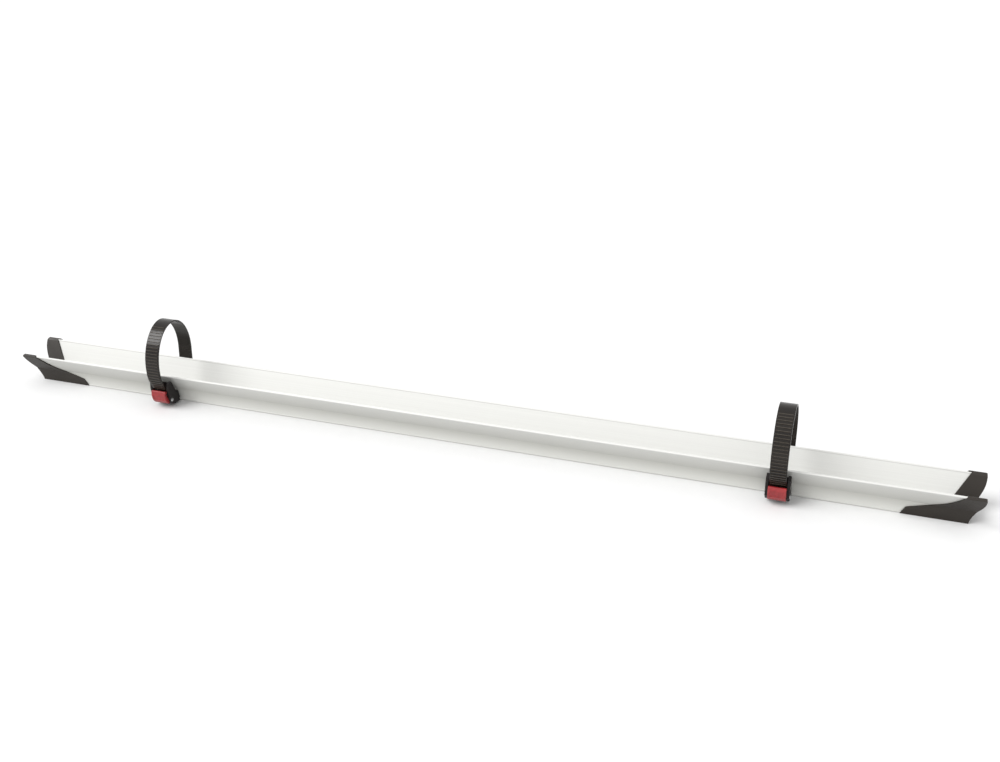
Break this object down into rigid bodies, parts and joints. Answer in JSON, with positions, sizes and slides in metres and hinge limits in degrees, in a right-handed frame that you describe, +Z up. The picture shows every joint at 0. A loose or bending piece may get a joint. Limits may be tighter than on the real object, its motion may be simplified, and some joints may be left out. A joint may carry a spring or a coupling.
{
  "type": "bicycle carrier wheel rail",
  "caption": "Long aluminium V-channel wheel rail with black swoosh end caps and ladder straps that loop over a wheel into buckles with red release levers.",
  "frame": {"origin": "middle of the rail's length and width, on its underside", "axes": "+X along the rail, -Y towards the buckles, +Z up out of the channel"},
  "size_m": [1.3, 0.0838, 0.1166],
  "materials": {
    "rail_aluminium": "satin anodised",
    "cap_plastic": "matte moulded, fine grain",
    "black_plastic": "matte moulded",
    "strap_plastic": "satin flexible plastic",
    "red_plastic": "semi-gloss moulded",
    "zinc_steel": "bright zinc",
    "spring_steel": "drawn wire"
  },
  "bodies": {
    "rail_frame": {"rail": "rail_aluminium", "end_cap_left": "cap_plastic", "end_cap_right": "cap_plastic", "cap_screws": "zinc_steel", "buckle_screws": "zinc_steel", "strap_base_left": "black_plastic", "buckle_body_left": "black_plastic", "lever_pin_left": "zinc_steel", "lever_spring_left": "spring_steel", "strap_pin_left": "zinc_steel", "strap_base_right": "black_plastic", "buckle_body_right": "black_plastic", "lever_pin_right": "zinc_steel", "lever_spring_right": "spring_steel", "strap_pin_right": "zinc_steel"},
    "strap_left": {"ladder_strap_left": "strap_plastic"},
    "lever_left": {"release_lever_left": "red_plastic"},
    "nut_left": {"slot_nut_left": "zinc_steel"},
    "strap_right": {"ladder_strap_right": "strap_plastic"},
    "lever_right": {"release_lever_right": "red_plastic"},
    "nut_right": {"slot_nut_right": "zinc_steel"}
  },
  "joints": [
    {"name": "strap_swing_left", "type": "hinge", "parent": "rail_frame", "child": "strap_left", "pos_m": [-0.42, 0.0253, 0.016], "axis": [-1, 0, 0], "range_deg": [0, 80]},
    {"name": "lever_release_left", "type": "hinge", "parent": "rail_frame", "child": "lever_left", "pos_m": [-0.42, -0.0367, 0.013], "axis": [1, 0, 0], "range_deg": [0, 28], "stiffness_Nm_per_rad": 0.08, "springref_deg": -14.32, "deforming": ["lever_spring_left"]},
    {"name": "nut_slide_left", "type": "slide", "parent": "rail_frame", "child": "nut_left", "axis": [1, 0, 0], "range_m": [-0.1, 0.1]},
    {"name": "strap_swing_right", "type": "hinge", "parent": "rail_frame", "child": "strap_right", "pos_m": [0.42, 0.0253, 0.016], "axis": [-1, 0, 0], "range_deg": [0, 80]},
    {"name": "lever_release_right", "type": "hinge", "parent": "rail_frame", "child": "lever_right", "pos_m": [0.42, -0.0367, 0.013], "axis": [1, 0, 0], "range_deg": [0, 28], "stiffness_Nm_per_rad": 0.08, "springref_deg": -14.32, "deforming": ["lever_spring_right"]},
    {"name": "nut_slide_right", "type": "slide", "parent": "rail_frame", "child": "nut_right", "axis": [1, 0, 0], "range_m": [-0.1, 0.1]}
  ]
}
